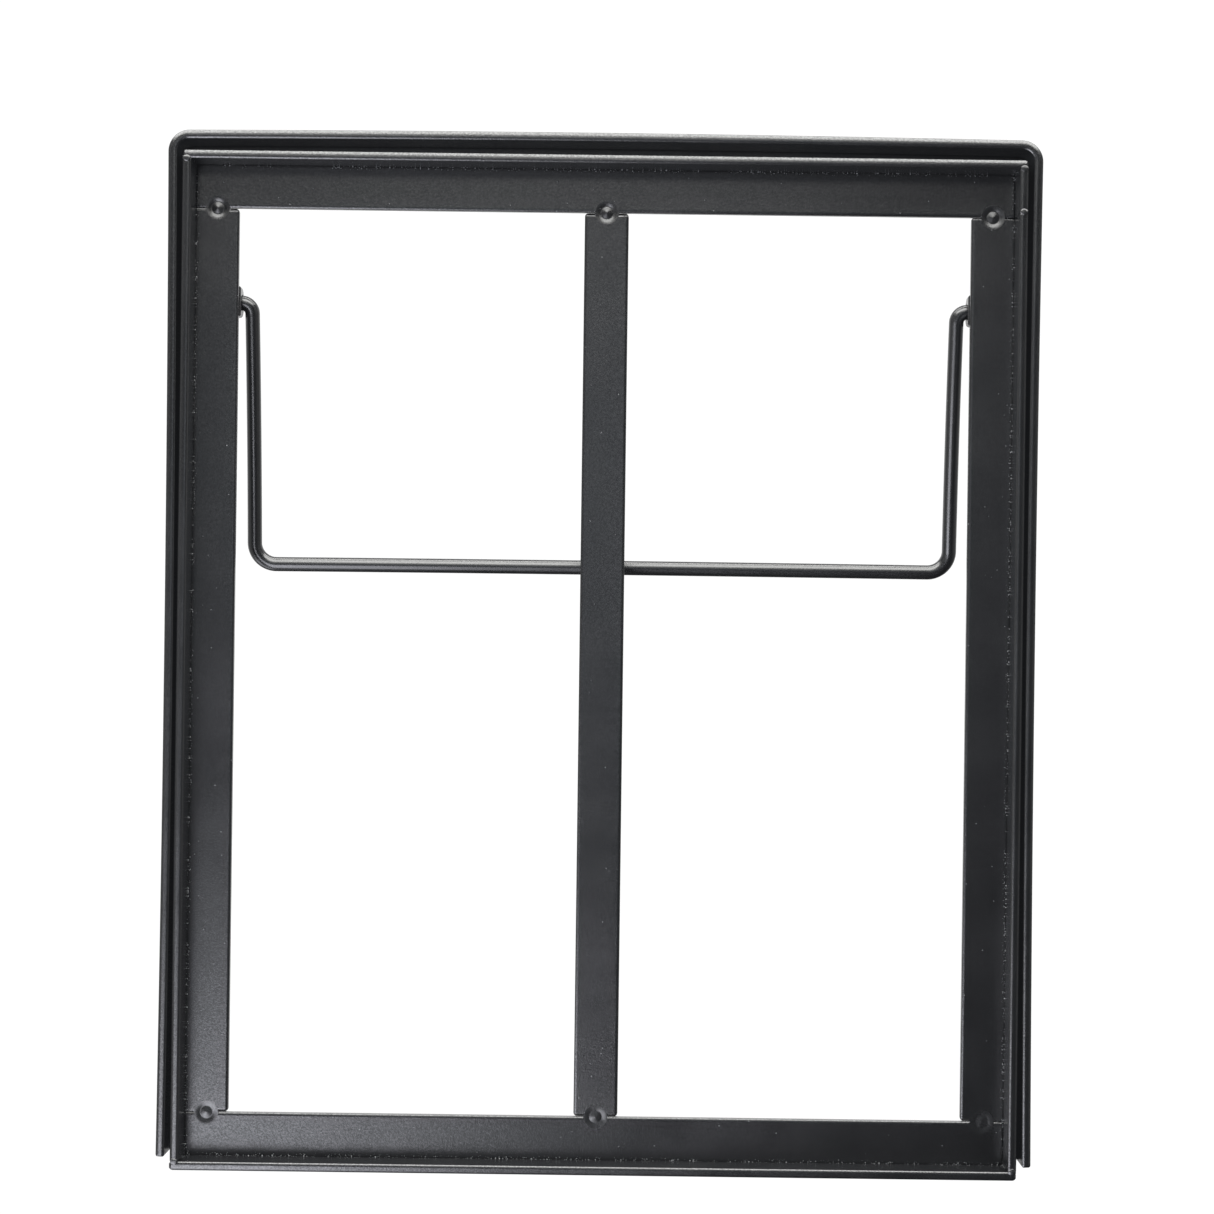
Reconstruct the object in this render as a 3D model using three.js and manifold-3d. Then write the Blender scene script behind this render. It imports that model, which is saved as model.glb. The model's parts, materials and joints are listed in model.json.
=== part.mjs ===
// Welded steel window guard: an angle-iron tray with a centre bar, a rim strip bent round its top and sides,
// and a wire bail that swings behind it. Millimetres. +X is right, +Z is up and the tray opens towards -Y.
// The origin is the middle of the bottom rail's underside.

import * as THREE from "three";
import { mergeVertices } from "three/addons/utils/BufferGeometryUtils.js";
import Module from "manifold-3d";

const wasm = await Module();
wasm.setup();

// Tray: four lengths of rolled angle and a flat centre bar.
const TRAY_WIDTH = 476;
const TRAY_HEIGHT = 574;
const ANGLE_LEG = 29.5;
const STEEL = 5;
const CENTRE_BAR_WIDTH = 25;
const CENTRE_BAR_OFFSET = 0.8;
const OUTER_TOE_RADIUS = 2;
const INNER_TOE_RADIUS = 1;
const BAR_EDGE_RADIUS = 0.8;
const BUTT_GROOVE = 0.6;
const SEAM_GAP = 0.3;

// Rim: one flat strip bent into an inverted U round the tray, open at the bottom.
const RIM_SIDE_GAP = 3;
const RIM_TOP_GAP = 6;
const RIM_CORNER_RADIUS = 12;
const RIM_BOW = 1.2;
const RIM_FOOT = 7.5;

// Back strips: thin flats lapped across the tray and the rim from behind.
const STRIP_WIDTH = 20;
const STRIP_THICKNESS = 3;
const STRIP_SIDE_INSET = 3;
const STRIP_TOP_INSET = 1.8;

// Bail: a bent wire carried in two ears on the back of the stiles.
const WIRE_DIAMETER = 8.4;
const BAIL_LEG_SPACING = 404;
const BAIL_DROP = 151.7;
const EYE_BEND_RADIUS = 6.2;
const CORNER_BEND_RADIUS = 12.5;
const WIRE_END_REACH = 217;
const REST_TILT = THREE.MathUtils.degToRad(11);
const PIVOT_HEIGHT = 492;
const PIVOT_BEHIND_BACK = 9;
const EAR_WIDTH = 17.5;
const EAR_THICKNESS = 4;
const EAR_HOLE_DIAMETER = 9.4;
const EAR_PROUD = 0.8;

// Welds
const BUTTON_WELD = { radius: 6, height: 0.9 };
const CORNER_TACK = { radius: 2.4, height: 0.8 };
const STITCH_LENGTH = 25;
const STITCH_LEG = 2.8;
const RIM_STITCH_LEG = 1.6;
const EAR_WELD_LENGTH = 15;

// Worked out from the above.
const FRONT = -ANGLE_LEG / 2;
const BACK = ANGLE_LEG / 2;
const FLANGE_FRONT = BACK - STEEL;
const HALF_WIDTH = TRAY_WIDTH / 2;
const HALF_HEIGHT = TRAY_HEIGHT / 2;
const OPENING_HALF_WIDTH = HALF_WIDTH - ANGLE_LEG;
const STILE_REACH = HALF_HEIGHT - ANGLE_LEG - BUTT_GROOVE;
const RAIL_REACH = HALF_WIDTH - STEEL - SEAM_GAP;
const RIM_HALF_WIDTH = HALF_WIDTH + RIM_SIDE_GAP + STEEL;
const RIM_TOP = TRAY_HEIGHT + RIM_TOP_GAP + STEEL;
const FLANGE_MIDDLE = (STEEL + ANGLE_LEG) / 2;
const STRIP_SIDE_EDGE = RIM_HALF_WIDTH - STRIP_SIDE_INSET;
const STRIP_TOP_EDGE = RIM_TOP - STRIP_TOP_INSET;

const CURVE_POINTS = 5;
const WIRE_SIDES = 24;
const DOME_SIDES = 16;
const DOME_STEPS = 4;

const guard = new THREE.Group();

// One group for each side of the tray. Inside it +X points to the middle of the opening, +Y to the back and
// +Z along the side, and its origin is half way along the tray's outer face.
function sideGroup(x, z, quarterTurns) {
  const group = new THREE.Group();
  group.position.set(x, 0, z);
  group.rotation.y = (quarterTurns * Math.PI) / 2;
  guard.add(group);
  return group;
}

const leftSide = sideGroup(-HALF_WIDTH, HALF_HEIGHT, 0);
const topSide = sideGroup(0, TRAY_HEIGHT, 1);
const rightSide = sideGroup(HALF_WIDTH, HALF_HEIGHT, 2);
const bottomSide = sideGroup(0, 0, 3);

function coatedSteel() {
  return new THREE.MeshStandardMaterial({ color: 0x2a2c2f, roughness: 0.45, metalness: 0.15 });
}

function addPiece(parent, name, geometry, x = 0, y = 0, z = 0) {
  const mesh = new THREE.Mesh(geometry, coatedSteel());
  mesh.name = name;
  mesh.position.set(x, y, z);
  parent.add(mesh);
  return mesh;
}

function solidFrom(geometry) {
  const bare = geometry.clone();
  bare.deleteAttribute("normal");
  bare.deleteAttribute("uv");
  const merged = mergeVertices(bare);
  return new wasm.Manifold(
    new wasm.Mesh({
      numProp: 3,
      vertProperties: merged.attributes.position.array,
      triVerts: merged.index.array,
    }),
  );
}

function geometryFrom(solid) {
  const mesh = solid.getMesh();
  const geometry = new THREE.BufferGeometry();
  geometry.setAttribute("position", new THREE.BufferAttribute(mesh.vertProperties, 3));
  geometry.setIndex(new THREE.BufferAttribute(mesh.triVerts, 1));
  geometry.computeVertexNormals();
  return geometry;
}

function extrude(shape, depth) {
  return new THREE.ExtrudeGeometry(shape, { depth, bevelEnabled: false, curveSegments: CURVE_POINTS });
}

// Rolled angle in a side group: the wall stands at x = 0 to STEEL and the flange lies along the back.
function angleSection() {
  const shape = new THREE.Shape();
  shape.moveTo(0, FRONT + OUTER_TOE_RADIUS);
  shape.quadraticCurveTo(0, FRONT, OUTER_TOE_RADIUS, FRONT);
  shape.lineTo(STEEL - INNER_TOE_RADIUS, FRONT);
  shape.quadraticCurveTo(STEEL, FRONT, STEEL, FRONT + INNER_TOE_RADIUS);
  shape.lineTo(STEEL, FLANGE_FRONT);
  shape.lineTo(ANGLE_LEG - INNER_TOE_RADIUS, FLANGE_FRONT);
  shape.quadraticCurveTo(ANGLE_LEG, FLANGE_FRONT, ANGLE_LEG, FLANGE_FRONT + INNER_TOE_RADIUS);
  shape.lineTo(ANGLE_LEG, BACK);
  shape.lineTo(0, BACK);
  shape.closePath();
  return shape;
}

// A length of angle whose wall runs from wallStart to wallEnd. Its flange is cut away beyond flangeReach.
function angleGeometry(wallStart, wallEnd, flangeReach) {
  const bar = extrude(angleSection(), wallEnd - wallStart);
  bar.translate(0, 0, wallStart);
  let solid = solidFrom(bar);
  for (const end of [-1, 1]) {
    const notch = new THREE.BoxGeometry(ANGLE_LEG, 2 * ANGLE_LEG, HALF_HEIGHT);
    notch.translate(STEEL + ANGLE_LEG / 2, 0, end * (flangeReach + HALF_HEIGHT / 2));
    solid = solid.subtract(solidFrom(notch));
  }
  return geometryFrom(solid);
}

function addTray() {
  const wallReach = HALF_HEIGHT - STEEL - SEAM_GAP;
  addPiece(leftSide, "left_angle", angleGeometry(-wallReach, wallReach, STILE_REACH));
  addPiece(rightSide, "right_angle", angleGeometry(-STILE_REACH, wallReach, STILE_REACH));
  addPiece(topSide, "top_angle", angleGeometry(-HALF_WIDTH, HALF_WIDTH, RAIL_REACH));
  addPiece(bottomSide, "bottom_angle", angleGeometry(-HALF_WIDTH, HALF_WIDTH, RAIL_REACH));
  const filler = new THREE.BoxGeometry(STEEL, ANGLE_LEG, wallReach - STILE_REACH - BUTT_GROOVE);
  addPiece(rightSide, "corner_filler", filler, STEEL / 2, 0, -(wallReach + STILE_REACH + BUTT_GROOVE) / 2);
}

function roundedRectangle(width, height, radius) {
  const x = width / 2;
  const y = height / 2;
  const shape = new THREE.Shape();
  shape.absarc(x - radius, y - radius, radius, 0, Math.PI / 2);
  shape.absarc(radius - x, y - radius, radius, Math.PI / 2, Math.PI);
  shape.absarc(radius - x, radius - y, radius, Math.PI, 1.5 * Math.PI);
  shape.absarc(x - radius, radius - y, radius, 1.5 * Math.PI, 2 * Math.PI);
  shape.closePath();
  return shape;
}

function addCentreBar() {
  const section = roundedRectangle(CENTRE_BAR_WIDTH, STEEL, BAR_EDGE_RADIUS);
  const bar = extrude(section, 2 * STILE_REACH);
  addPiece(guard, "centre_bar", bar, CENTRE_BAR_OFFSET, BACK - STEEL / 2, HALF_HEIGHT - STILE_REACH);
}

// The rim's face line, from the left foot over the top to the right foot, moved in by inset. The legs bow
// towards the tray and the top bows away from it.
function rimLine(inset) {
  const side = RIM_HALF_WIDTH - inset;
  const top = RIM_TOP - inset;
  const radius = RIM_CORNER_RADIUS - inset;
  const legMiddle = (RIM_FOOT + top - radius) / 2;
  const line = new THREE.Path();
  line.moveTo(-side, RIM_FOOT);
  line.quadraticCurveTo(2 * RIM_BOW - side, legMiddle, -side, top - radius);
  line.absarc(radius - side, top - radius, radius, Math.PI, Math.PI / 2, true);
  line.quadraticCurveTo(0, top + 2 * RIM_BOW, side - radius, top);
  line.absarc(side - radius, top - radius, radius, Math.PI / 2, 0, true);
  line.quadraticCurveTo(side - 2 * RIM_BOW, legMiddle, side, RIM_FOOT);
  return line.getPoints(2 * CURVE_POINTS);
}

function addRim() {
  const outline = new THREE.Shape([...rimLine(0), ...rimLine(STEEL).reverse()]);
  const rim = addPiece(guard, "outer_rim", extrude(outline, ANGLE_LEG), 0, BACK, 0);
  rim.rotation.x = Math.PI / 2;
}

// The top strip has rounded upper corners that follow the rim, and the side strips butt up under it.
function addBackStrips() {
  const radius = RIM_CORNER_RADIUS - STRIP_SIDE_INSET;
  const lowerEdge = STRIP_TOP_EDGE - STRIP_WIDTH;
  const outline = new THREE.Shape();
  outline.moveTo(-STRIP_SIDE_EDGE, lowerEdge);
  outline.lineTo(STRIP_SIDE_EDGE, lowerEdge);
  outline.absarc(STRIP_SIDE_EDGE - radius, STRIP_TOP_EDGE - radius, radius, 0, Math.PI / 2);
  outline.absarc(radius - STRIP_SIDE_EDGE, STRIP_TOP_EDGE - radius, radius, Math.PI / 2, Math.PI);
  outline.closePath();
  const backFace = BACK + STRIP_THICKNESS;
  const top = addPiece(guard, "back_strip_top", extrude(outline, STRIP_THICKNESS), 0, backFace, 0);
  top.rotation.x = Math.PI / 2;
  const length = lowerEdge - SEAM_GAP - RIM_FOOT;
  for (const [name, sign] of [["back_strip_left", -1], ["back_strip_right", 1]]) {
    const strip = new THREE.BoxGeometry(STRIP_WIDTH, STRIP_THICKNESS, length);
    const x = sign * (STRIP_SIDE_EDGE - STRIP_WIDTH / 2);
    addPiece(guard, name, strip, x, BACK + STRIP_THICKNESS / 2, RIM_FOOT + length / 2);
  }
}

// A low round weld standing on y = 0: a bell whose edge runs out smoothly on to the steel.
function domeGeometry({ radius, height }) {
  const profile = [new THREE.Vector2(0, 0)];
  for (let step = 0; step <= DOME_STEPS; step += 1) {
    const share = 1 - step / DOME_STEPS;
    const rise = (height * (1 + Math.cos(Math.PI * share))) / 2;
    profile.push(new THREE.Vector2(radius * share, rise));
  }
  return new THREE.LatheGeometry(profile, DOME_SIDES);
}

// A weld along the inside corner between a flat on y = 0 and an edge on x = 0, running along z.
function filletGeometry(leg, length) {
  const section = new THREE.Shape();
  section.moveTo(0, 0);
  section.lineTo(leg, 0);
  section.quadraticCurveTo(0.7 * leg, 0.7 * leg, 0, leg);
  section.closePath();
  const bead = extrude(section, length);
  bead.translate(0, 0, -length / 2);
  return bead;
}

function addFrontWelds() {
  const joints = [
    ["left", FLANGE_MIDDLE - HALF_WIDTH],
    ["centre", CENTRE_BAR_OFFSET],
    ["right", HALF_WIDTH - FLANGE_MIDDLE],
  ];
  for (const [place, x] of joints) {
    for (const [end, z] of [["top", TRAY_HEIGHT - ANGLE_LEG], ["bottom", ANGLE_LEG]]) {
      const weld = addPiece(guard, `weld_${end}_${place}`, domeGeometry(BUTTON_WELD), x, FLANGE_FRONT, z);
      weld.rotation.x = Math.PI;
    }
  }
  const wallMiddle = HALF_WIDTH - STEEL / 2;
  const tacks = [
    ["tack_top_left", -wallMiddle, TRAY_HEIGHT - STEEL],
    ["tack_top_right", wallMiddle, TRAY_HEIGHT - STEEL],
    ["tack_filler_right", wallMiddle, TRAY_HEIGHT - ANGLE_LEG],
    ["tack_bottom_left", -wallMiddle, STEEL],
    ["tack_bottom_right", wallMiddle, STEEL],
  ];
  for (const [name, x, z] of tacks) {
    const tack = addPiece(guard, name, domeGeometry(CORNER_TACK), x, FRONT, z);
    tack.rotation.x = Math.PI;
  }
}

// Stitches hold each back strip to its flange along one edge, and to the rim's rear edge along the other.
function addBackWelds() {
  const sides = [
    ["left", leftSide, STRIP_SIDE_EDGE - HALF_WIDTH, [-190, 0, 150]],
    ["top", topSide, STRIP_TOP_EDGE - TRAY_HEIGHT, [-150, 0, 150]],
    ["right", rightSide, STRIP_SIDE_EDGE - HALF_WIDTH, [-150, 0, 190]],
  ];
  for (const [place, group, overhang, alongs] of sides) {
    alongs.forEach((along, index) => {
      const stitch = filletGeometry(STITCH_LEG, STITCH_LENGTH);
      const innerEdge = STRIP_WIDTH - overhang + SEAM_GAP / 3;
      addPiece(group, `stitch_${place}_${index + 1}`, stitch, innerEdge, BACK, along);
      const rimStitch = filletGeometry(RIM_STITCH_LEG, STITCH_LENGTH);
      const outerEdge = -overhang - SEAM_GAP / 3;
      const weld = addPiece(group, `rim_stitch_${place}_${index + 1}`, rimStitch, outerEdge, BACK, along);
      weld.rotation.y = Math.PI;
    });
  }
}

function circlePoints(radius, sides) {
  return new THREE.EllipseCurve(0, 0, radius, radius).getPoints(sides).slice(0, -1);
}

// An ear's outline with x to the back and y up, centred on the pivot, and the wire's hole through it.
function earShape() {
  const radius = EAR_WIDTH / 2;
  const shape = new THREE.Shape();
  shape.moveTo(-PIVOT_BEHIND_BACK, radius);
  shape.lineTo(-PIVOT_BEHIND_BACK, -radius);
  shape.absarc(0, 0, radius, -Math.PI / 2, Math.PI / 2);
  shape.closePath();
  shape.holes.push(new THREE.Path(circlePoints(EAR_HOLE_DIAMETER / 2, 2 * WIRE_SIDES)));
  return shape;
}

function addEars() {
  const innerFace = OPENING_HALF_WIDTH - EAR_PROUD;
  const outerFace = innerFace + EAR_THICKNESS;
  const pivotY = BACK + PIVOT_BEHIND_BACK;
  const backUpRight = new THREE.Matrix4().makeBasis(
    new THREE.Vector3(0, 1, 0),
    new THREE.Vector3(0, 0, 1),
    new THREE.Vector3(1, 0, 0),
  );
  for (const [place, start] of [["left", -outerFace], ["right", innerFace]]) {
    const geometry = new THREE.ExtrudeGeometry(earShape(), {
      depth: EAR_THICKNESS,
      bevelEnabled: false,
      curveSegments: 3 * CURVE_POINTS,
    });
    const ear = addPiece(guard, `ear_${place}`, geometry, start, pivotY, PIVOT_HEIGHT);
    ear.quaternion.setFromRotationMatrix(backUpRight);
  }
  for (const [place, sign] of [["left", -1], ["right", 1]]) {
    const bead = filletGeometry(STITCH_LEG, EAR_WELD_LENGTH);
    const x = sign * (outerFace + SEAM_GAP / 3);
    const weld = addPiece(guard, `ear_weld_${place}`, bead, x, BACK, PIVOT_HEIGHT);
    weld.rotation.y = sign < 0 ? Math.PI : 0;
  }
}

// A centre line through stations, whose sweep puts one ring of the wire at each station.
class StationCurve extends THREE.Curve {
  constructor(stations) {
    super();
    this.stations = stations;
  }

  getPoint(t, target = new THREE.Vector3()) {
    const place = t * (this.stations.length - 1);
    const index = Math.min(Math.floor(place), this.stations.length - 2);
    return target.lerpVectors(this.stations[index], this.stations[index + 1], place - index);
  }

  getUtoTmapping(u) {
    return u;
  }
}

// The bail's centre line about its pivot: in at one eye, down a leg, across, up and out at the other eye.
function bailCurve() {
  const leg = BAIL_LEG_SPACING / 2;
  const eye = EYE_BEND_RADIUS;
  const corner = CORNER_BEND_RADIUS;
  const line = new THREE.Path();
  line.moveTo(-WIRE_END_REACH, 0);
  line.lineTo(WIRE_DIAMETER / 2 - WIRE_END_REACH, 0);
  line.absarc(-leg - eye, -eye, eye, Math.PI / 2, 0, true);
  line.absarc(corner - leg, corner - BAIL_DROP, corner, Math.PI, 1.5 * Math.PI);
  line.absarc(leg - corner, corner - BAIL_DROP, corner, 1.5 * Math.PI, 2 * Math.PI);
  line.absarc(leg + eye, -eye, eye, Math.PI, Math.PI / 2, true);
  line.lineTo(WIRE_END_REACH, 0);
  const stations = line.getPoints(CURVE_POINTS);
  return new StationCurve(stations.map((point) => new THREE.Vector3(point.x, 0, point.y)));
}

function addBail() {
  const section = new THREE.Shape(circlePoints(WIRE_DIAMETER / 2, WIRE_SIDES));
  const path = bailCurve();
  const wire = new THREE.ExtrudeGeometry(section, {
    steps: path.stations.length - 1,
    extrudePath: path,
  });
  const bail = addPiece(guard, "bail", wire, 0, BACK + PIVOT_BEHIND_BACK, PIVOT_HEIGHT);
  bail.rotation.x = REST_TILT;
}

addTray();
addCentreBar();
addRim();
addBackStrips();
addFrontWelds();
addBackWelds();
addEars();
addBail();

export default guard;
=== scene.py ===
"""Looks of a welded window guard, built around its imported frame.

The guard is black powder-coated steel: an angle-iron tray with a centre bar, a rim strip and a wire bail.
Metres. +X is right, +Z is up, and the tray opens towards -Y, where the camera stands.
"""

import json
import math

import bmesh
import bpy
from mathutils import Matrix, Vector, noise


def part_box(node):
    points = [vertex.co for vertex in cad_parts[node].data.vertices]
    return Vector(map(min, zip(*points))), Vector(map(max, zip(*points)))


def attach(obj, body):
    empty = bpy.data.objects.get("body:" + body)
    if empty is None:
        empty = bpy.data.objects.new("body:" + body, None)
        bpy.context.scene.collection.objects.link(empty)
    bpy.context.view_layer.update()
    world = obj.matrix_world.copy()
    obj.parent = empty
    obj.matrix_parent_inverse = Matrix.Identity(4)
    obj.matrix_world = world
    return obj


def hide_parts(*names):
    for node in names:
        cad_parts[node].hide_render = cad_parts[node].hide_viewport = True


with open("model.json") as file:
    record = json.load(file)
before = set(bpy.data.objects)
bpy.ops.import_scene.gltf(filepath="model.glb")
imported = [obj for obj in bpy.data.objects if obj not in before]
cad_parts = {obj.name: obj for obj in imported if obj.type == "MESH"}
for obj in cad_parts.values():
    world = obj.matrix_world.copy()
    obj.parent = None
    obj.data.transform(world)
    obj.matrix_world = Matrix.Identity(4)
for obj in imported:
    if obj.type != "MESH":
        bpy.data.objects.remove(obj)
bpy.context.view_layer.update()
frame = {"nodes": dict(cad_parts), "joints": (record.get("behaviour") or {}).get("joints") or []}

MM = 0.001

# Gaps that the solid model leaves between welded pieces. Here the pieces touch.
BUTT_GROOVE = 0.6 * MM
SEAM_GAP = 0.3 * MM

# The bottom rail stands a little proud of the left stile, and the centre bar is a little twisted.
RAIL_PROUD = 0.5 * MM
BAR_TWIST = math.radians(-1.2)

# Rounded edges, with their coat: how far each reaches across the steel and into its depth.
CROWN_OUTER = (3.1 * MM, 1.5 * MM)
CROWN_INNER = (1.9 * MM, 0.9 * MM)
FLANGE_TOE = (1.8 * MM, 0.8 * MM)
HEEL_EDGE = (1.2 * MM, 1.2 * MM)
CUT_EDGE = (0.6 * MM, 0.6 * MM)
PLATE_EDGE = (0.5 * MM, 0.5 * MM)
EAR_EDGE = 1.4 * MM

# Rounding of cut ends. The square end is cut straight through wall and flange.
RAIL_END = 2.2 * MM
STILE_END = 2.1 * MM
SQUARE_END = 1.3 * MM
WALL_END = 0.5 * MM
RIM_FOOT_END = 1.3 * MM
WIRE_END_CHAMFER = 1.0 * MM

# Rim and wire shapes. A bow is how far a straight run swells half way.
RIM_CORNER_RADIUS = 12 * MM
RIM_BOW = 1.2 * MM
BAIL_LEG_SPACING = 404 * MM
BAIL_LEG_BOW = 0.25 * MM
BAIL_DROP = 151.7 * MM
BAIL_CROSS_BOW = 0.3 * MM
EYE_BEND_RADIUS = 6.2 * MM
CORNER_BEND_RADIUS = 12.5 * MM
REST_TILT = math.radians(11)
EAR_HOLE_RADIUS = 4.7 * MM

# Button welds: a low cone inside a shallow ring trough.
BUTTON_RADIUS = 6.8 * MM
CORE_RADIUS = 3.6 * MM
CORE_SLOPE = 0.26
CORE_TIP = 0.4 * MM
TROUGH_DEPTH = 0.7 * MM
BUTTON_SINK = 2.5 * MM
BUTTON_LUMP = 3 * MM

# Fillet beads: the length of a ring, of a ripple and of a lump, and how far the bead sinks into its corner.
BEAD_STEP = 0.45 * MM
BEAD_RIPPLE = 1.7 * MM
BEAD_LUMP = 4 * MM
BEAD_SINK = 0.3 * MM

# Fineness of the meshes.
ARC_STEPS = 6
END_STEPS = 4
BEND_STEPS = 16
WIRE_BEND_STEPS = 20
RUN_STEPS = 24
WIRE_SIDES = 40
BUTTON_SIDES = 72
BUTTON_RINGS = 24
EAR_SIDES = 64
SAME_POINT = 0.01 * MM

# Grain of the coat, in noise cells per metre.
CLOUD_SCALE = 28
PATCH_SCALE = 75
DUST_SCALE = 190
PEEL_SCALE = 850
GLINT_SCALE = 900
NIB_SCALE = 1050
PORE_SCALE = 1700

# Coat colours. The crevice colour is painted shade, laid into inside corners. The veil is a painted glow, a
# faint emission that stands in for the haze of a bright studio and keeps the black from going fully dark.
COAT = (0.0036, 0.0038, 0.0042)
CREVICE_SHADE = (0.001, 0.001, 0.001)
FLECK = (0.35, 0.36, 0.37)
HAZE_GLOW = (0.0056, 0.0059, 0.0065)
CREVICE_REACH = 4.5 * MM

# Studio: lamp tints, the white that the camera sees, and the camera.
WARM_WHITE = (1, 1, 0.98)
COOL_WHITE = (0.95, 0.96, 1.04)
BLUE_WHITE = (0.93, 1, 1.09)
PAPER_WHITE = 1.05
FLOOR_GREY = 0.8
FLOOR_SIZE = 30
FLOOR_DROP = 0.5 * MM
LAMP_LAYERS = 3
CAMERA_PLACE = (0.01713, -1.815, 0.29567)
CAMERA_ROLL = -0.0129
FOCAL_LENGTH = 95.03
SENSOR_WIDTH = 36
LENS_SHIFT = (-0.01895, 0.03542)


# Where the pieces stand, read from the solid model.
tray_low, tray_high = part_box("top_angle")
bar_low, bar_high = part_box("centre_bar")
HALF_WIDTH = tray_high.x
TRAY_HEIGHT = tray_high.z
HALF_HEIGHT = TRAY_HEIGHT / 2
FRONT = tray_low.y
BACK = tray_high.y
ANGLE_LEG = BACK - FRONT
STEEL = bar_high.y - bar_low.y
FLANGE_FRONT = BACK - STEEL
STILE_REACH = (bar_high.z - bar_low.z) / 2 + BUTT_GROOVE / 2
WALL_REACH = HALF_HEIGHT - STEEL
RAIL_REACH = HALF_WIDTH - STEEL
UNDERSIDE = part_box("bottom_angle")[0].z
PIVOT = Vector(frame["joints"][0]["pos_m"])


def side_matrix(x, z, quarter_turns):
    """Frame of one side of the tray: +X to the middle of the opening, +Y back, +Z along the side."""
    turn = Matrix.Rotation(quarter_turns * math.pi / 2, 4, "Y")
    return Matrix.Translation((x, 0, z)) @ turn


SIDES = {
    "left": side_matrix(-HALF_WIDTH, HALF_HEIGHT, 0),
    "top": side_matrix(0, TRAY_HEIGHT, 1),
    "right": side_matrix(HALF_WIDTH, HALF_HEIGHT, 2),
    "bottom": side_matrix(0, 0, 3),
}


# ---------------------------------------------------------------- mesh helpers


def object_from(name, bm, matrix=None):
    """Turns a bmesh into a linked object whose place is in its vertices."""
    bmesh.ops.recalc_face_normals(bm, faces=bm.faces)
    if matrix is not None:
        bm.transform(matrix)
    mesh = bpy.data.meshes.new(name)
    bm.to_mesh(mesh)
    bm.free()
    made = bpy.data.objects.new(name, mesh)
    bpy.context.scene.collection.objects.link(made)
    return made


def bake(piece):
    """Applies the piece's modifiers to its mesh."""
    graph = bpy.context.evaluated_depsgraph_get()
    mesh = bpy.data.meshes.new_from_object(piece.evaluated_get(graph))
    piece.modifiers.clear()
    piece.data = mesh


def smooth(piece, sharp_degrees=38):
    """Smooth shading that keeps flat faces flat, and corners sharper than sharp_degrees hard."""
    piece.data.shade_smooth()
    piece.data.set_sharp_from_angle(angle=math.radians(sharp_degrees))
    weighted = piece.modifiers.new("face weights", "WEIGHTED_NORMAL")
    weighted.keep_sharp = True
    weighted.weight = 80


def loft(name, rings):
    """Closed skin over rings of points, with a flat cap at each end."""
    bm = bmesh.new()
    rows = [[bm.verts.new(point) for point in ring] for ring in rings]
    for near, far in zip(rows, rows[1:]):
        for index, vert in enumerate(near):
            following = (index + 1) % len(near)
            bm.faces.new((vert, near[following], far[following], far[index]))
    bm.faces.new(rows[0][::-1])
    bm.faces.new(rows[-1])
    bmesh.ops.remove_doubles(bm, verts=bm.verts, dist=SAME_POINT / 5)
    return object_from(name, bm)


def quarter(corner, across, deep):
    """A corner rounded with a quarter ellipse, from its deep leg to its across leg."""
    points = []
    for step in range(ARC_STEPS + 1):
        angle = step / ARC_STEPS * math.pi / 2
        x = corner[0] + across * (1 - math.cos(angle))
        y = corner[1] + deep * (1 - math.sin(angle))
        points.append((x, y))
    return points


def without_repeats(outline):
    """The outline with each run of equal points taken as one."""
    points = []
    for index, point in enumerate(outline):
        if math.dist(point, outline[index - 1]) > SAME_POINT:
            points.append(point)
    return points


def flat_section(low, high, front_low, front_high, back_high=CUT_EDGE, back_low=CUT_EDGE):
    """A flat bar's outline between two (across, back) corners, with the four roundings given."""
    points = quarter(low, *front_low)
    points += quarter((high[0], low[1]), -front_high[0], front_high[1])[::-1]
    points += quarter(high, -back_high[0], -back_high[1])
    points += quarter((low[0], high[1]), back_low[0], -back_low[1])[::-1]
    return without_repeats(points)


def clamped(value, low, high):
    return min(max(value, low), high)


def shrunk(outline, inset):
    """The outline moved inwards by inset. A corner whose rounding is tighter than that becomes square."""
    across = [point[0] for point in outline]
    back = [point[1] for point in outline]
    moved = []
    for index, point in enumerate(outline):
        before = Vector(outline[index - 1])
        after = Vector(outline[(index + 1) % len(outline)])
        along = (after - before).normalized()
        moved.append((
            clamped(point[0] - inset * along.y, min(across) + inset, max(across) - inset),
            clamped(point[1] + inset * along.x, min(back) + inset, max(back) - inset),
        ))
    return moved


def end_rounding(radius):
    """(travel, inset) steps that round a bar's cut end."""
    steps = []
    for step in range(END_STEPS + 1):
        angle = step / END_STEPS * math.pi / 2
        steps.append((radius * (1 - math.cos(angle)), radius * (1 - math.sin(angle))))
    return steps


def straight(name, section, start, end, end_radius=CUT_EDGE[0]):
    """A bar of one section that runs up from start to end."""
    rounding = end_rounding(end_radius)
    rings = []
    for travel, inset in rounding:
        rings.append([(x, y, start + travel) for x, y in shrunk(section, inset)])
    for travel, inset in reversed(rounding):
        rings.append([(x, y, end - travel) for x, y in shrunk(section, inset)])
    return loft(name, rings)


def arc(centre, radius, start, end, steps):
    """Points of an arc in a plane, both ends included. Angles are in degrees."""
    points = []
    for step in range(steps + 1):
        angle = math.radians(start + (end - start) * step / steps)
        points.append((centre[0] + radius * math.cos(angle), centre[1] + radius * math.sin(angle)))
    return points


def curve_frames(points):
    """(point, unit normal) for each point of a planar line, the normal on the line's left."""
    frames = []
    for index, point in enumerate(points):
        before = Vector(points[max(index - 1, 0)])
        after = Vector(points[min(index + 1, len(points) - 1)])
        along = (after - before).normalized()
        frames.append((Vector(point), Vector((-along.y, along.x))))
    return frames


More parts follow.
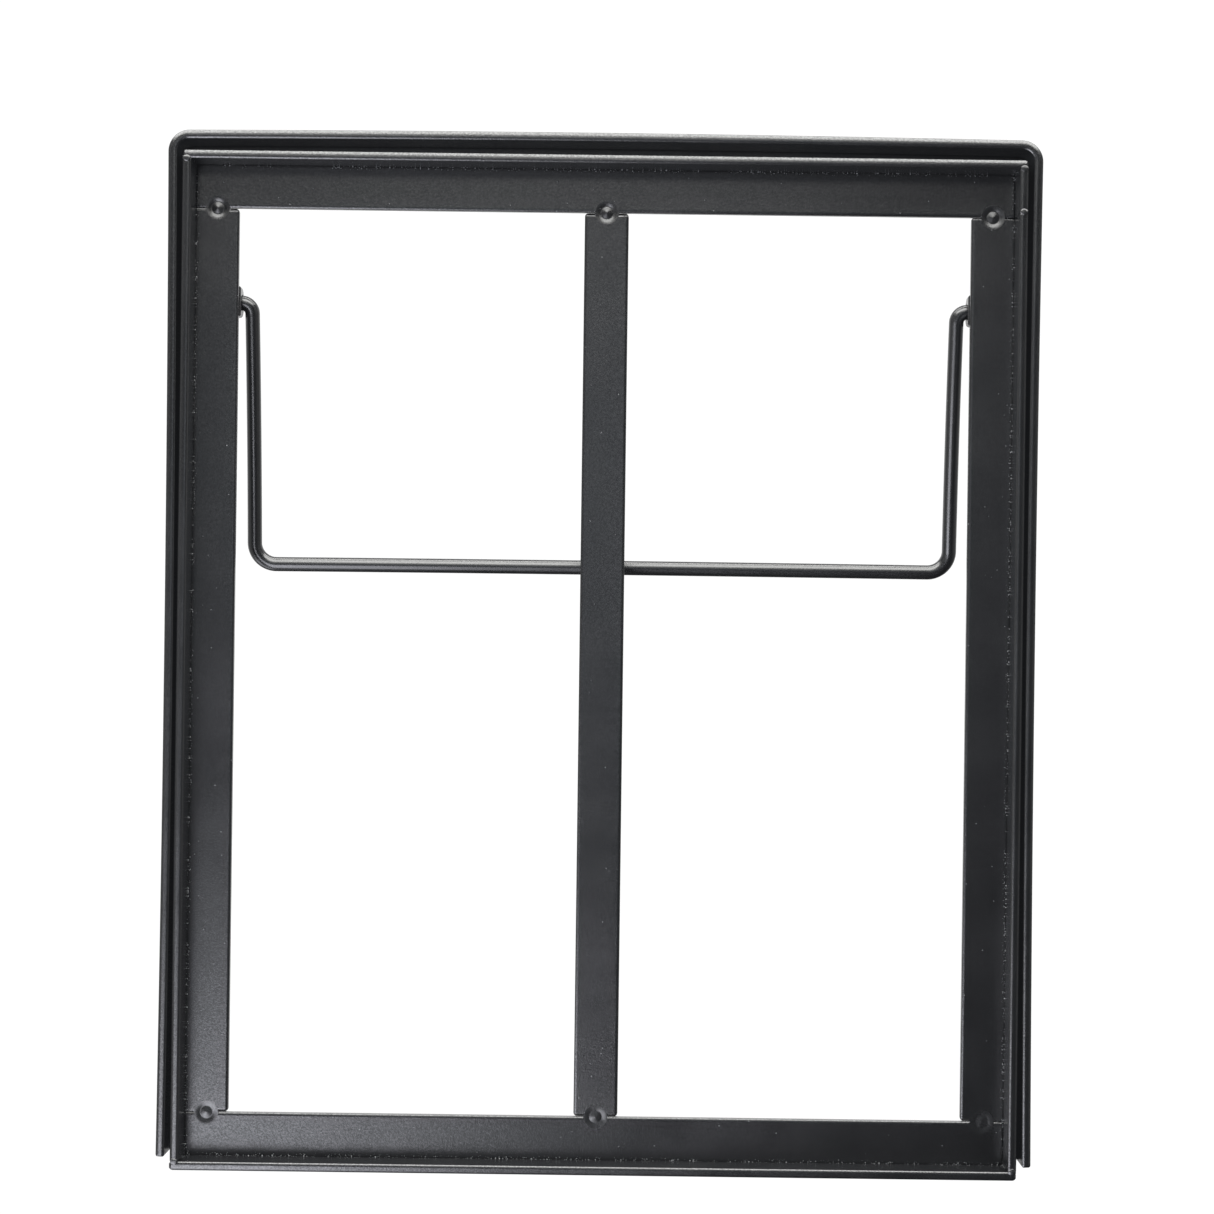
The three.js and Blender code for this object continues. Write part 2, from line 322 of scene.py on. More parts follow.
def plate_bmesh(outline, low_y, high_y):
    """Flat plate whose outline is a list of x, z points."""
    bm = bmesh.new()
    near = [bm.verts.new((x, low_y, z)) for x, z in outline]
    far = [bm.verts.new((x, high_y, z)) for x, z in outline]
    bm.faces.new(near)
    bm.faces.new(far[::-1])
    for index in range(len(outline)):
        following = (index + 1) % len(outline)
        bm.faces.new((near[following], near[index], far[index], far[following]))
    return bm


def wander(point, seed, pitch, height):
    """A smooth offset that looks random but is the same each time."""
    place = Vector(point) / pitch + Vector((seed, 2.3 * seed, -1.7 * seed))
    return height * noise.noise(place)


def register(piece, finish, *nodes, body="frame"):
    """Hands a finished piece to the frame in place of its CAD nodes."""
    slot, material = FINISH[finish]
    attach(piece, body)
    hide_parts(*nodes)
    piece.data.materials.clear()
    piece.data.materials.append(material)


# ---------------------------------------------------------------- coats


def powder_coat(name, grain, roughness, nibbed=0.0):
    """Black satin powder coat: orange peel, cloudy gloss, dust specks, painted shade in inside corners and a
    faint painted glow.

    grain is the strength of the peel, and nibbed is the share of paint nibs along deep inside corners.
    """
    material = bpy.data.materials.new(name)
    material.use_nodes = True
    nodes = material.node_tree.nodes
    links = material.node_tree.links
    shader = nodes["Principled BSDF"]

    def add(kind, **settings):
        node = nodes.new(kind)
        for key, value in settings.items():
            setattr(node, key, value)
        return node

    def feed(source, node, socket):
        links.new(source, node.inputs[socket])
        return node

    def noise_field(scale, detail):
        node = add("ShaderNodeTexNoise")
        node.inputs["Scale"].default_value = scale
        node.inputs["Detail"].default_value = detail
        return feed(place.outputs["Object"], node, "Vector").outputs["Fac"]

    def ramp(source, low, high, start=0.0, end=1.0):
        node = add("ShaderNodeMapRange", interpolation_type="SMOOTHSTEP")
        for key, value in (("From Min", low), ("From Max", high), ("To Min", start), ("To Max", end)):
            node.inputs[key].default_value = value
        return feed(source, node, "Value").outputs["Result"]

    def maths(operation, a, b):
        node = add("ShaderNodeMath", operation=operation)
        for index, value in enumerate((a, b)):
            if isinstance(value, float):
                node.inputs[index].default_value = value
            else:
                links.new(value, node.inputs[index])
        return node.outputs["Value"]

    def blend(factor, first, second):
        """Colour that goes from first to second as factor rises. Each is a plain colour or a socket."""
        node = add("ShaderNodeMix", data_type="RGBA")
        for key, value in (("A", first), ("B", second)):
            if isinstance(value, tuple):
                node.inputs[key].default_value = (*value, 1)
            else:
                links.new(value, node.inputs[key])
        return feed(factor, node, "Factor").outputs["Result"]

    place = add("ShaderNodeTexCoord")
    peel = noise_field(PEEL_SCALE, 2.0)
    pores = noise_field(PORE_SCALE, 1.0)
    cloud = noise_field(CLOUD_SCALE, 4.0)
    patches = noise_field(PATCH_SCALE, 2.0)
    glints = noise_field(GLINT_SCALE, 3.0)
    depth = feed(place.outputs["Object"], add("ShaderNodeSeparateXYZ"), "Vector").outputs["Y"]

    # Inside corners: how shut in a spot is, and only those deep in the tray take nibs, in patches.
    corner = add("ShaderNodeAmbientOcclusion", samples=8)
    corner.inputs["Distance"].default_value = CREVICE_REACH
    openness = corner.outputs["AO"]
    # Painted shade: the more shut in a spot is, the darker its colour and the weaker its reflections.
    painted_shade = ramp(openness, 0.5, 0.64, 1.0, 0.0)
    corner_line = maths("MULTIPLY", ramp(openness, 0.52, 0.68, 1.0, 0.0), ramp(depth, -6 * MM, -2 * MM))
    rough_crevice = maths("MULTIPLY", corner_line, ramp(patches, 0.36, 0.48, 0.0, nibbed))

    cells = add("ShaderNodeTexVoronoi")
    cells.inputs["Scale"].default_value = NIB_SCALE
    feed(place.outputs["Object"], cells, "Vector")
    nib = ramp(cells.outputs["Distance"], 0.22, 0.42, 1.0, 0.0)
    chosen = ramp(cells.outputs["Color"], 0.38, 0.42)
    nibs = maths("MULTIPLY", maths("MULTIPLY", nib, rough_crevice), chosen)

    dust_cells = add("ShaderNodeTexVoronoi")
    dust_cells.inputs["Scale"].default_value = DUST_SCALE
    feed(place.outputs["Object"], dust_cells, "Vector")
    dust_dot = ramp(dust_cells.outputs["Distance"], 0.03, 0.07, 1.0, 0.0)
    dust = maths("MULTIPLY", dust_dot, ramp(dust_cells.outputs["Color"], 0.7, 0.74))
    bright = maths("MAXIMUM", nibs, maths("MULTIPLY", dust, 0.3))

    darker = tuple(0.82 * value for value in COAT)
    lighter = tuple(1.18 * value for value in COAT)
    # Painted shade: inside corners are blended towards the dark crevice colour.
    shaded = blend(painted_shade, blend(cloud, darker, lighter), CREVICE_SHADE)
    feed(blend(bright, shaded, FLECK), shader, "Base Color")
    # Painted glow: a faint emission that stands in for the haze of a bright studio.
    shader.inputs["Emission Color"].default_value = (*HAZE_GLOW, 1)
    shader.inputs["Emission Strength"].default_value = 1

    feed(ramp(cloud, 0.25, 0.75, roughness, roughness + 0.06), shader, "Roughness")
    mottle = ramp(glints, 0.25, 0.75, 1 - 0.3 * grain, 1 + 0.3 * grain)
    # Painted shade on the reflections: the gloss falls in inside corners.
    gloss = ramp(painted_shade, 0.0, 1.0, 0.75, 0.05)
    feed(maths("MULTIPLY", gloss, mottle), shader, "Specular IOR Level")

    # Heights in millimetres.
    skin = maths("ADD", maths("MULTIPLY", peel, 0.02 * grain), maths("MULTIPLY", pores, 0.04 * grain))
    crust = maths("MULTIPLY", maths("MULTIPLY", rough_crevice, pores), 0.5)
    lumps = maths("ADD", maths("MULTIPLY", bright, 0.15), crust)
    bump = add("ShaderNodeBump")
    bump.inputs["Strength"].default_value = 1
    bump.inputs["Distance"].default_value = MM
    feed(maths("ADD", skin, lumps), bump, "Height")
    feed(bump.outputs["Normal"], shader, "Normal")
    return material


# Each finish is a material slot of the record and the material that shows it.
FINISH = {
    "tray": ("frame_coat", powder_coat("tray_coat", 1.0, 0.2, nibbed=1.0)),
    "strip": ("frame_coat", powder_coat("strip_coat", 1.0, 0.2)),
    "bail": ("bail_coat", powder_coat("bail_coat", 0.25, 0.22)),
    "weld": ("weld_coat", powder_coat("weld_coat", 0.4, 0.25)),
}


# ---------------------------------------------------------------- tray


def angle_section():
    """Outline of the rolled angle as (inward, back) points."""
    points = quarter((0, BACK), HEEL_EDGE[0], -HEEL_EDGE[1])[::-1]
    points += quarter((0, FRONT), *CROWN_OUTER)
    points += quarter((STEEL, FRONT), -CROWN_INNER[0], CROWN_INNER[1])[::-1]
    points.append((STEEL, FLANGE_FRONT))
    points += quarter((ANGLE_LEG, FLANGE_FRONT), -FLANGE_TOE[0], FLANGE_TOE[1])[::-1]
    points += quarter((ANGLE_LEG, BACK), -CUT_EDGE[0], -CUT_EDGE[1])
    return without_repeats(points)


def add_angle(side, start, end):
    """One rolled angle of the tray. An end is (wall reach, flange reach, wall rounding, flange rounding)."""
    section = angle_section()

    def ring(along, wall_inset, flange_inset):
        """One cross-section. A flange inset of None leaves the wall without its flange."""
        wall = shrunk(section, wall_inset)
        flange = section if flange_inset is None else shrunk(section, flange_inset)
        points = []
        for spot, wall_spot, flange_spot in zip(section, wall, flange):
            if spot[0] <= STEEL:
                across = min(wall_spot[0], STEEL - wall_inset)
                back = wall_spot[1]
            elif flange_inset is None:
                across = STEEL - wall_inset
                back = clamped(spot[1], FLANGE_FRONT, BACK - wall_inset)
            else:
                across = flange_spot[0]
                back = max(flange_spot[1], FLANGE_FRONT + flange_inset)
            points.append((across, back, along))
        return points

    def half(reaches, inward):
        """Rings from one end of the angle to where its full section begins."""
        wall_end, flange_end, wall_radius, flange_radius = reaches
        level = wall_end == flange_end
        rings = []
        for travel, inset in end_rounding(wall_radius):
            rings.append(ring(wall_end + inward * travel, inset, inset if level else None))
        if not level:
            rings.append(ring(flange_end, 0, None))
            for travel, inset in end_rounding(flange_radius):
                rings.append(ring(flange_end + inward * travel, 0, inset))
        return rings

    piece = loft(f"{side}_angle_coated", half(start, 1) + half(end, -1)[::-1])
    piece.data.transform(SIDES[side])
    return piece


def drill(piece, centre, radius, depth):
    """Takes a round pocket out of the piece's front face."""
    bm = bmesh.new()
    bmesh.ops.create_cone(
        bm, cap_ends=True, segments=BUTTON_SIDES, radius1=radius, radius2=radius, depth=2 * depth,
        matrix=Matrix.Translation(centre) @ Matrix.Rotation(math.pi / 2, 4, "X"),
    )
    cutter = object_from("cutter", bm)
    cut = piece.modifiers.new("pocket", "BOOLEAN")
    cut.operation = "DIFFERENCE"
    cut.solver = "MANIFOLD"
    cut.object = cutter
    bake(piece)
    bpy.data.objects.remove(cutter)
    bm = bmesh.new()
    bm.from_mesh(piece.data)
    bmesh.ops.dissolve_limit(bm, angle_limit=math.radians(0.5), verts=bm.verts, edges=bm.edges)
    bm.to_mesh(piece.data)
    bm.free()


def button_weld(name, centre, seed, relief, unevenness):
    """A round weld set in a pocket: trough at its edge, raised core in the middle.

    relief is its share of the full height, and unevenness is the height of its random lumps.
    """
    bm = bmesh.new()

    def height(radius, x, z):
        if radius > CORE_RADIUS:
            share = (radius - CORE_RADIUS) / (BUTTON_RADIUS - CORE_RADIUS)
            rise = TROUGH_DEPTH * (share * (1.5 - share**2 / 2) - 1)
        else:
            rise = CORE_SLOPE * (CORE_RADIUS - math.hypot(radius, CORE_TIP)) - TROUGH_DEPTH
        fade = 1 - (radius / BUTTON_RADIUS) ** 4
        return relief * rise + fade * wander((x, 0, z), seed, BUTTON_LUMP, unevenness)

    top = bm.verts.new(centre + Vector((0, -height(0, 0, 0), 0)))
    rows = []
    for ring in range(1, BUTTON_RINGS + 1):
        radius = BUTTON_RADIUS * ring / BUTTON_RINGS
        row = []
        for sector in range(BUTTON_SIDES):
            angle = 2 * math.pi * sector / BUTTON_SIDES
            x = radius * math.cos(angle)
            z = radius * math.sin(angle)
            row.append(bm.verts.new(centre + Vector((x, -height(radius, x, z), z))))
        rows.append(row)
    rows.append([bm.verts.new(vert.co + Vector((0, BUTTON_SINK, 0))) for vert in rows[-1]])
    for sector in range(BUTTON_SIDES):
        following = (sector + 1) % BUTTON_SIDES
        bm.faces.new((top, rows[0][sector], rows[0][following]))
        for near, far in zip(rows, rows[1:]):
            bm.faces.new((near[sector], far[sector], far[following], near[following]))
    bm.faces.new(rows[-1])
    return object_from(name, bm)


def add_tray():
    stile_end = (WALL_REACH, STILE_REACH, WALL_END, STILE_END)
    stile_start = (-WALL_REACH, -STILE_REACH, WALL_END, STILE_END)
    joint_start = (-STILE_REACH, -STILE_REACH, SQUARE_END, SQUARE_END)
    rail_end = (HALF_WIDTH, RAIL_REACH, RAIL_END, CUT_EDGE[0])
    rail_start = (-HALF_WIDTH, -RAIL_REACH, RAIL_END, CUT_EDGE[0])
    proud_end = (HALF_WIDTH + RAIL_PROUD, RAIL_REACH, RAIL_END, CUT_EDGE[0])
    angles = {
        "left": add_angle("left", stile_start, stile_end),
        "right": add_angle("right", joint_start, stile_end),
        "top": add_angle("top", rail_start, rail_end),
        "bottom": add_angle("bottom", rail_start, proud_end),
    }
    low = HALF_HEIGHT - STILE_REACH
    high = HALF_HEIGHT + STILE_REACH
    bar_section = flat_section(bar_low.xy, bar_high.xy, FLANGE_TOE, FLANGE_TOE)
    centre_bar = straight("centre_bar_coated", bar_section, low, high, STILE_END)
    bar_axis = (bar_low + bar_high) / 2
    to_axis = Matrix.Translation(bar_axis)
    centre_bar.data.transform(to_axis @ Matrix.Rotation(BAR_TWIST, 4, "Z") @ to_axis.inverted())

    filler_low, filler_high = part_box("corner_filler")
    filler_section = flat_section(filler_low.xy, filler_high.xy, CROWN_INNER, CROWN_OUTER)
    filler_start = filler_low.z - BUTT_GROOVE / 2
    filler_end = filler_high.z + SEAM_GAP
    filler = straight("corner_filler_coated", filler_section, filler_start, filler_end)

    add_button_welds(angles, centre_bar)
    for side, piece in angles.items():
        smooth(piece)
        register(piece, "tray", f"{side}_angle")
    for piece, node in ((centre_bar, "centre_bar"), (filler, "corner_filler")):
        smooth(piece)
        register(piece, "tray", node)


def add_button_welds(angles, centre_bar):
    """The six welds over the butt joints, each in a pocket drilled into the two pieces that it joins."""
    columns = {
        "left": (ANGLE_LEG + STEEL) / 2 - HALF_WIDTH,
        "centre": (bar_low.x + bar_high.x) / 2,
        "right": HALF_WIDTH - (ANGLE_LEG + STEEL) / 2,
    }
    rows = {"top": TRAY_HEIGHT - ANGLE_LEG, "bottom": ANGLE_LEG}
    # Each weld's relief, and its unevenness in millimetres.
    shapes = {
        ("top", "left"): (1, 0.01),
        ("top", "centre"): (1, 0.01),
        ("top", "right"): (1, 0.01),
        ("bottom", "left"): (0.55, 0.02),
        ("bottom", "centre"): (0.45, 0.08),
        ("bottom", "right"): (0.35, 0.08),
    }
    seed = 0
    for end, z in rows.items():
        for place, x in columns.items():
            seed += 1
            centre = Vector((x, FLANGE_FRONT, z))
            post = centre_bar if place == "centre" else angles[place]
            for steel in (post, angles[end]):
                drill(steel, centre, BUTTON_RADIUS, BUTTON_SINK)
            name = f"weld_{end}_{place}"
            relief, unevenness = shapes[end, place]
            weld = button_weld(f"{name}_coated", centre, seed, relief, unevenness * MM)
            smooth(weld)
            register(weld, "weld", name)


# ---------------------------------------------------------------- rim and back strips


def bowed_leg(start, end, bow, steps):
    """Points from start to end that swell by bow half way, leaving both ends out."""
    points = []
    for step in range(1, steps):
        share = step / steps
        swell = 4 * share * (1 - share)
        spot = Vector(start).lerp(Vector(end), share) + swell * Vector(bow)
        points.append(tuple(spot))
    return points


def add_rim():
    """The rim strip, swept round its bowed line, which runs along the middle of the steel."""
    low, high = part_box("outer_rim")
    side = high.x - STEEL / 2
    top = high.z - RIM_BOW - STEEL / 2
    radius = RIM_CORNER_RADIUS - STEEL / 2
    shoulder = top - radius
    line = [(-side, low.z)]
    line += bowed_leg((-side, low.z), (-side, shoulder), (RIM_BOW, 0), RUN_STEPS)
    line += arc((radius - side, shoulder), radius, 180, 90, BEND_STEPS)
    line += bowed_leg((radius - side, top), (side - radius, top), (0, RIM_BOW), RUN_STEPS)
    line += arc((side - radius, shoulder), radius, 90, 0, BEND_STEPS)
    line += bowed_leg((side, shoulder), (side, low.z), (-RIM_BOW, 0), RUN_STEPS)
    line += [(side, low.z)]

    reach = STEEL / 2
    section = flat_section((-reach, FRONT), (reach, BACK), CROWN_INNER, CROWN_OUTER)
    frames = curve_frames(line)

    def ring(point, normal, inset):
        spots = []
        for out, back in shrunk(section, inset):
            spot = point + out * normal
            spots.append((spot.x, back, spot.y))
        return spots

    rounding = end_rounding(RIM_FOOT_END)
    rings = []
    for travel, inset in rounding:
        point, normal = frames[0]
        rings.append(ring(point + Vector((0, travel)), normal, inset))
    rings += [ring(point, normal, 0) for point, normal in frames[1:-1]]
    for travel, inset in reversed(rounding):
        point, normal = frames[-1]
        rings.append(ring(point + Vector((0, travel)), normal, inset))
    rim = loft("outer_rim_coated", rings)
    smooth(rim)
    register(rim, "strip", "outer_rim")


def add_back_strips():
    """The flats that close the back between tray and rim: one across the top, one down each side."""
    low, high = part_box("back_strip_top")
    radius = RIM_CORNER_RADIUS - (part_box("outer_rim")[1].x - high.x)
    outline = [(low.x, low.z), (high.x, low.z)]
    outline += arc((high.x - radius, high.z - radius), radius, 0, 90, ARC_STEPS)
    outline += arc((low.x + radius, high.z - radius), radius, 90, 180, ARC_STEPS)
    top = object_from("back_strip_top_coated", plate_bmesh(outline, low.y, high.y))
    bevel = top.modifiers.new("rounded edges", "BEVEL")
    bevel.width = PLATE_EDGE[0]
    bevel.segments = 3
    bevel.angle_limit = math.radians(40)
    bake(top)
    smooth(top)
    register(top, "strip", "back_strip_top")
    for side in ("left", "right"):
        name = f"back_strip_{side}"
        low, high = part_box(name)
        section = flat_section(low.xy, high.xy, PLATE_EDGE, PLATE_EDGE, PLATE_EDGE, PLATE_EDGE)
        strip = straight(f"{name}_coated", section, low.z, high.z + SEAM_GAP)
        smooth(strip)
        register(strip, "strip", name)


# ---------------------------------------------------------------- small welds


def add_tack(name, seed):
    """A small flattened drop of weld on a front edge."""
    low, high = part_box(name)
    centre = (low + high) / 2
    radius = (high.x - low.x) / 2
    peak = 0.6 * (high.y - low.y)
    bm = bmesh.new()
    bmesh.ops.create_uvsphere(bm, u_segments=36, v_segments=18, radius=1)
    for vert in bm.verts:
        shape = 1 + wander(vert.co, seed, 0.9, 0.22)
        vert.co = Vector((
            centre.x + 0.9 * radius * shape * vert.co.x,
            high.y + peak * shape * vert.co.y,
            centre.z + 0.75 * radius * shape * vert.co.z,
        ))
    tack = object_from(f"{name}_coated", bm)
    smooth(tack)
    register(tack, "weld", name)


def add_bead(name, along, out, seed):
    """A fillet bead in an inside corner, with the ripples of a short hand weld.

    along is the axis that it runs along, and out is the one that it spreads along, away from the edge.
    """
    low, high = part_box(name)
    leg = high.y - low.y
    length = (high - low).dot(Vector([abs(value) for value in along]))
    middle = (low + high) / 2
    start = Vector([low[axis] if out[axis] > 0 else high[axis] for axis in range(3)])
    start.y = low.y
    for axis in range(3):
        if along[axis]:
            start[axis] = middle[axis] - length / 2
    face = []
    for part in range(9):
        angle = part / 8 * math.pi / 2
        face.append((angle, leg * (1 - 0.16 * math.sin(2 * angle))))
    steps = int(length / BEAD_STEP)
    rings = []
    for step in range(steps + 1):
        share = step / steps
        distance = share * length
        to_end = min(distance, length - distance)
        taper = math.sqrt(min(1, to_end / (1.8 * leg)) * 0.96 + 0.04)
        ripple = 1 - 0.07 * abs(math.sin(math.pi * distance / BEAD_RIPPLE))
        size = taper * (ripple + wander((distance, 0, 0), seed, BEAD_LUMP, 0.08))
        base = start + distance * Vector(along)
        ring = [base - BEAD_SINK * Vector(out)]
        for angle, reach in face:
            spread = size * reach * math.cos(angle) * Vector(out)
            ring.append(base + spread + Vector((0, size * reach * math.sin(angle), 0)))
        rings.append(ring)
    bead = loft(f"{name}_coated", rings)
    smooth(bead, 60)
    register(bead, "weld", name)


def add_small_welds():
    """The tacks on the front edges, and the beads on the back strips and ears."""
    names = sorted(frame["nodes"])
    up = Vector((0, 0, 1))
    right = Vector((1, 0, 0))
    for seed, name in enumerate(names):
        if name.startswith("tack_"):
            add_tack(name, seed)
        elif "stitch_" in name:
            outer = name.startswith("rim_")
            if "_top_" in name:
                add_bead(name, right, up if outer else -up, seed)
            else:
                inward = right if "_left_" in name else -right
                add_bead(name, up, -inward if outer else inward, seed)
        elif name.startswith("ear_weld_"):
            add_bead(name, up, -right if name.endswith("left") else right, seed)


# ---------------------------------------------------------------- ears and bail


def add_ear(name):
    """A D-shaped ear with a rounded rim, drilled for the wire, standing back from the flange."""
    low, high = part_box(name)
    radius = (high.z - low.z) / 2
    foot = PIVOT.y - low.y
    outline = []
    for step in range(EAR_SIDES):
        angle = 2 * math.pi * step / EAR_SIDES
        back = math.cos(angle)
        rise = math.sin(angle)
        reach = radius
        if back < 0:
            reach = min(foot / -back, radius / abs(rise))
        outline.append((reach * back, reach * rise))
    rounding = end_rounding(EAR_EDGE)
    layers = [(low.x + travel, inset) for travel, inset in rounding]
    layers += [(high.x - travel, inset) for travel, inset in reversed(rounding)]
    bm = bmesh.new()
    loops = []
    for x, inset in layers:
        loops.append([bm.verts.new((x, PIVOT.y + y, PIVOT.z + z)) for y, z in shrunk(outline, inset)])
    hole = arc((PIVOT.y, PIVOT.z), EAR_HOLE_RADIUS, 0, 360, EAR_SIDES)[:-1]
    for x in (high.x, low.x):
        loops.append([bm.verts.new((x, y, z)) for y, z in hole])
    for near, far in zip(loops, loops[1:] + loops[:1]):
        for step in range(EAR_SIDES):
            following = (step + 1) % EAR_SIDES
            bm.faces.new((near[step], near[following], far[following], far[step]))
    ear = object_from(f"{name}_coated", bm)
    smooth(ear)
    register(ear, "strip", name)


def add_bail():
    """The wire bail, swept along its centre line and tilted to its rest angle."""
    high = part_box("bail")[1]
    wire = high.z - PIVOT.z
    leg = BAIL_LEG_SPACING / 2
    eye = EYE_BEND_RADIUS
    corner = CORNER_BEND_RADIUS
    shoulder = corner - BAIL_DROP
    end = high.x
    line = [(-end, 0.0), (wire - end, 0.0)]
    line += arc((-leg - eye, -eye), eye, 90, 0, BEND_STEPS)
    line += bowed_leg((-leg, -eye), (-leg, shoulder), (BAIL_LEG_BOW, 0), WIRE_BEND_STEPS)
    line += arc((corner - leg, shoulder), corner, 180, 270, WIRE_BEND_STEPS)
    line += bowed_leg(
        (corner - leg, -BAIL_DROP), (leg - corner, -BAIL_DROP), (0, BAIL_CROSS_BOW), 2 * WIRE_BEND_STEPS
    )
    line += arc((leg - corner, shoulder), corner, 270, 360, WIRE_BEND_STEPS)
    line += bowed_leg((leg, shoulder), (leg, -eye), (-BAIL_LEG_BOW, 0), WIRE_BEND_STEPS)
    line += arc((leg + eye, -eye), eye, 180, 90, BEND_STEPS)
    line += [(end - wire, 0.0), (end, 0.0)]

    rings = []
    frames = curve_frames(line)

    def ring(point, normal, radius):
        spots = []
        for side in range(WIRE_SIDES):
            angle = 2 * math.pi * side / WIRE_SIDES
            spot = point + radius * math.cos(angle) * normal
            spots.append((spot.x, radius * math.sin(angle), spot.y))
        return spots

    chamfer = []
    for travel, drop in ((0.0, 1.0), (0.25, 0.45), (0.6, 0.12), (1.0, 0.0)):
        chamfer.append((Vector((travel * WIRE_END_CHAMFER, 0)), wire - drop * WIRE_END_CHAMFER))
    point, normal = frames[0]
    rings += [ring(point + travel, normal, radius) for travel, radius in chamfer]
    rings += [ring(point, normal, wire) for point, normal in frames[1:-1]]
    point, normal = frames[-1]
    rings += [ring(point - travel, normal, radius) for travel, radius in reversed(chamfer)]
    bail = loft("bail_coated", rings)
    bail.data.transform(Matrix.Translation(PIVOT) @ Matrix.Rotation(REST_TILT, 4, "X"))
    smooth(bail)
    register(bail, "bail", "bail", body="bail")


# ---------------------------------------------------------------- studio


def add_floor():
    """A large pale floor, which glows so brightly to the camera that it reads as plain white."""
    bm = bmesh.new()
    bmesh.ops.create_grid(bm, x_segments=1, y_segments=1, size=FLOOR_SIZE)
    floor = object_from("studio_floor", bm, Matrix.Translation((0, 0, UNDERSIDE - FLOOR_DROP)))
    material = bpy.data.materials.new("pale_floor")
    material.use_nodes = True
    nodes = material.node_tree.nodes
    links = material.node_tree.links
    pale = nodes["Principled BSDF"]
    pale.inputs["Base Color"].default_value = (FLOOR_GREY, FLOOR_GREY, FLOOR_GREY, 1)
    pale.inputs["Roughness"].default_value = 0.9
    glow = nodes.new("ShaderNodeEmission")
    glow.inputs["Strength"].default_value = PAPER_WHITE
    to_camera = nodes.new("ShaderNodeLightPath")
    mix = nodes.new("ShaderNodeMixShader")
    links.new(to_camera.outputs["Is Camera Ray"], mix.inputs["Fac"])
    links.new(pale.outputs["BSDF"], mix.inputs[1])
    links.new(glow.outputs["Emission"], mix.inputs[2])
    links.new(mix.outputs["Shader"], nodes["Material Output"].inputs["Surface"])
    floor.data.materials.append(material)
    floor.visible_glossy = False
    floor.visible_diffuse = False
    floor.visible_shadow = False


def softbox(name, location, target, width, height, radiance, tint, feather):
    """A rectangular soft light turned to its target: nested lamps whose edge fades over the feather."""
    aim = Vector(target) - Vector(location)
    for layer in range(LAMP_LAYERS):
        spread = feather * (layer / (LAMP_LAYERS - 1) - 0.5)
        light = bpy.data.lights.new(f"{name}_{layer}", "AREA")
        light.shape = "RECTANGLE"
        light.size = width + spread
        light.size_y = height + spread
        light.energy = math.pi * radiance / LAMP_LAYERS * light.size * light.size_y
        light.color = tint
        lamp = bpy.data.objects.new(light.name, light)
        lamp.location = Vector(location) - layer * MM * aim.normalized()
        lamp.rotation_euler = aim.to_track_quat("-Z", "Y").to_euler()
        lamp.visible_camera = False
        bpy.context.scene.collection.objects.link(lamp)


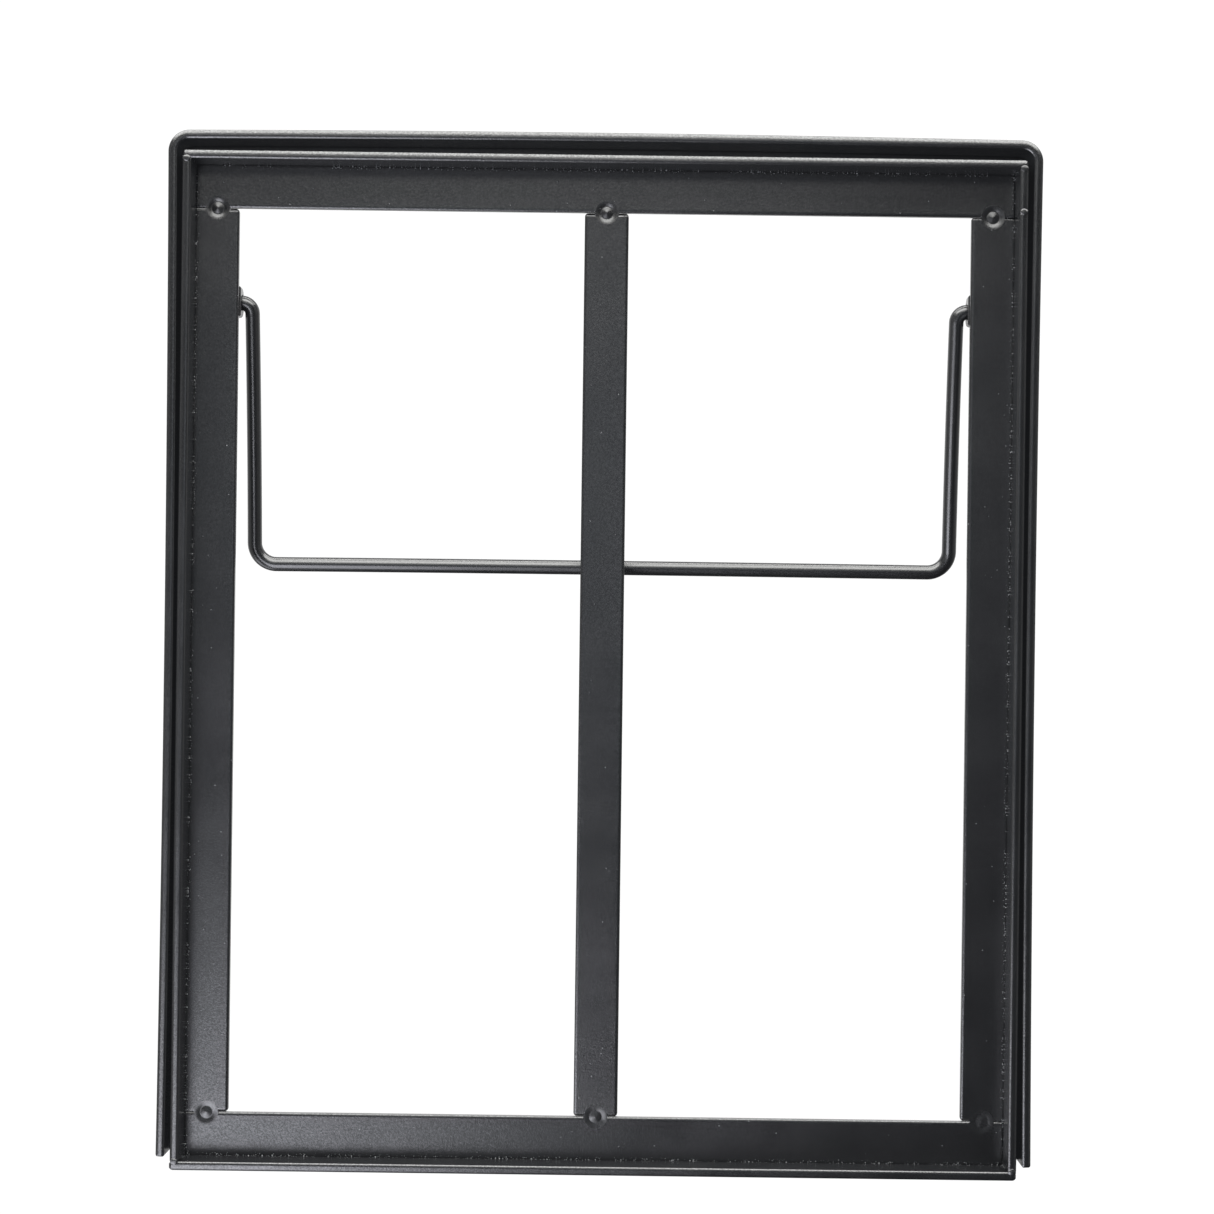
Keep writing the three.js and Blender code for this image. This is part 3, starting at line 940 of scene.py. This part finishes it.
def add_world():
    """White to the camera. To the steel: dark in front, soft light from the left, the right and behind."""
    world = bpy.data.worlds.new("studio")
    bpy.context.scene.world = world
    world.use_nodes = True
    nodes = world.node_tree.nodes
    links = world.node_tree.links
    direction = nodes.new("ShaderNodeTexCoord")
    split = nodes.new("ShaderNodeSeparateXYZ")
    links.new(direction.outputs["Generated"], split.inputs["Vector"])

    def lobe(socket, low, high, strength, floor=0.0):
        """Brightness that rises by strength above floor as the direction's part goes from low to high."""
        node = nodes.new("ShaderNodeMapRange")
        node.interpolation_type = "SMOOTHSTEP"
        node.inputs["From Min"].default_value = low
        node.inputs["From Max"].default_value = high
        node.inputs["To Min"].default_value = floor
        node.inputs["To Max"].default_value = floor + strength
        links.new(split.outputs[socket], node.inputs["Value"])
        return node.outputs["Result"]

    def combine(operation, first, second):
        node = nodes.new("ShaderNodeMath")
        node.operation = operation
        links.new(first, node.inputs[0])
        links.new(second, node.inputs[1])
        return node.outputs["Value"]

    behind = combine("ADD", lobe("X", 0.5, 1.0, 0.5), lobe("Y", 0.1, 0.9, 1.1))
    behind = combine("MULTIPLY", behind, lobe("Z", -0.9, 0.3, 1.0))
    glow = combine("ADD", lobe("X", -0.1, -0.9, 0.45, 0.03), behind)
    steel_light = nodes["Background"]
    camera_light = nodes.new("ShaderNodeBackground")
    for light in (steel_light, camera_light):
        light.inputs["Color"].default_value = (1, 1, 1, 1)
    camera_light.inputs["Strength"].default_value = PAPER_WHITE
    links.new(glow, steel_light.inputs["Strength"])
    path = nodes.new("ShaderNodeLightPath")
    mix = nodes.new("ShaderNodeMixShader")
    links.new(path.outputs["Is Camera Ray"], mix.inputs["Fac"])
    links.new(steel_light.outputs["Background"], mix.inputs[1])
    links.new(camera_light.outputs["Background"], mix.inputs[2])
    links.new(mix.outputs["Shader"], nodes["World Output"].inputs["Surface"])


def add_lamps():
    """A wide overhead light, two from the lower left, and two weak ones that the front faces mirror."""
    softbox("overhead", (0, -1.05, 2.1), (0, -1.05, 0), 4.0, 2.9, 9, WARM_WHITE, 0.3)
    softbox("low_left", (-0.97, -1.42, -0.85), (-0.97, -0.17, 0.25), 1.46, 1.66, 6.9, COOL_WHITE, 0.4)
    softbox("under_left", (-1.1, -0.2, -1.3), (-0.6, -0.1, 0.2), 1.4, 1.4, 2.5, COOL_WHITE, 0.5)
    softbox("high_front", (-0.12, -2.0, 1.35), (-0.12, 0, 0.5), 0.9, 0.7, 2.6, WARM_WHITE, 0.4)
    softbox("front_glow", (-0.1, -1.9, 0.5), (-0.1, 0, 0.5), 0.75, 0.6, 0.7, BLUE_WHITE, 0.5)


def add_camera():
    """Long lens straight on, a little right of the middle and at half height, rolled slightly."""
    lens = bpy.data.cameras.new("camera")
    lens.lens = FOCAL_LENGTH
    lens.sensor_width = SENSOR_WIDTH
    lens.shift_x, lens.shift_y = LENS_SHIFT
    camera = bpy.data.objects.new("camera", lens)
    roll = Matrix.Rotation(CAMERA_ROLL, 4, "Y")
    upright = Matrix.Rotation(math.pi / 2, 4, "X")
    camera.matrix_world = Matrix.Translation(CAMERA_PLACE) @ roll @ upright
    bpy.context.scene.collection.objects.link(camera)
    bpy.context.scene.camera = camera


add_tray()
add_rim()
add_back_strips()
add_small_welds()
add_ear("ear_left")
add_ear("ear_right")
add_bail()
add_floor()
add_world()
add_lamps()
add_camera()
bpy.context.scene.view_settings.view_transform = "Standard"
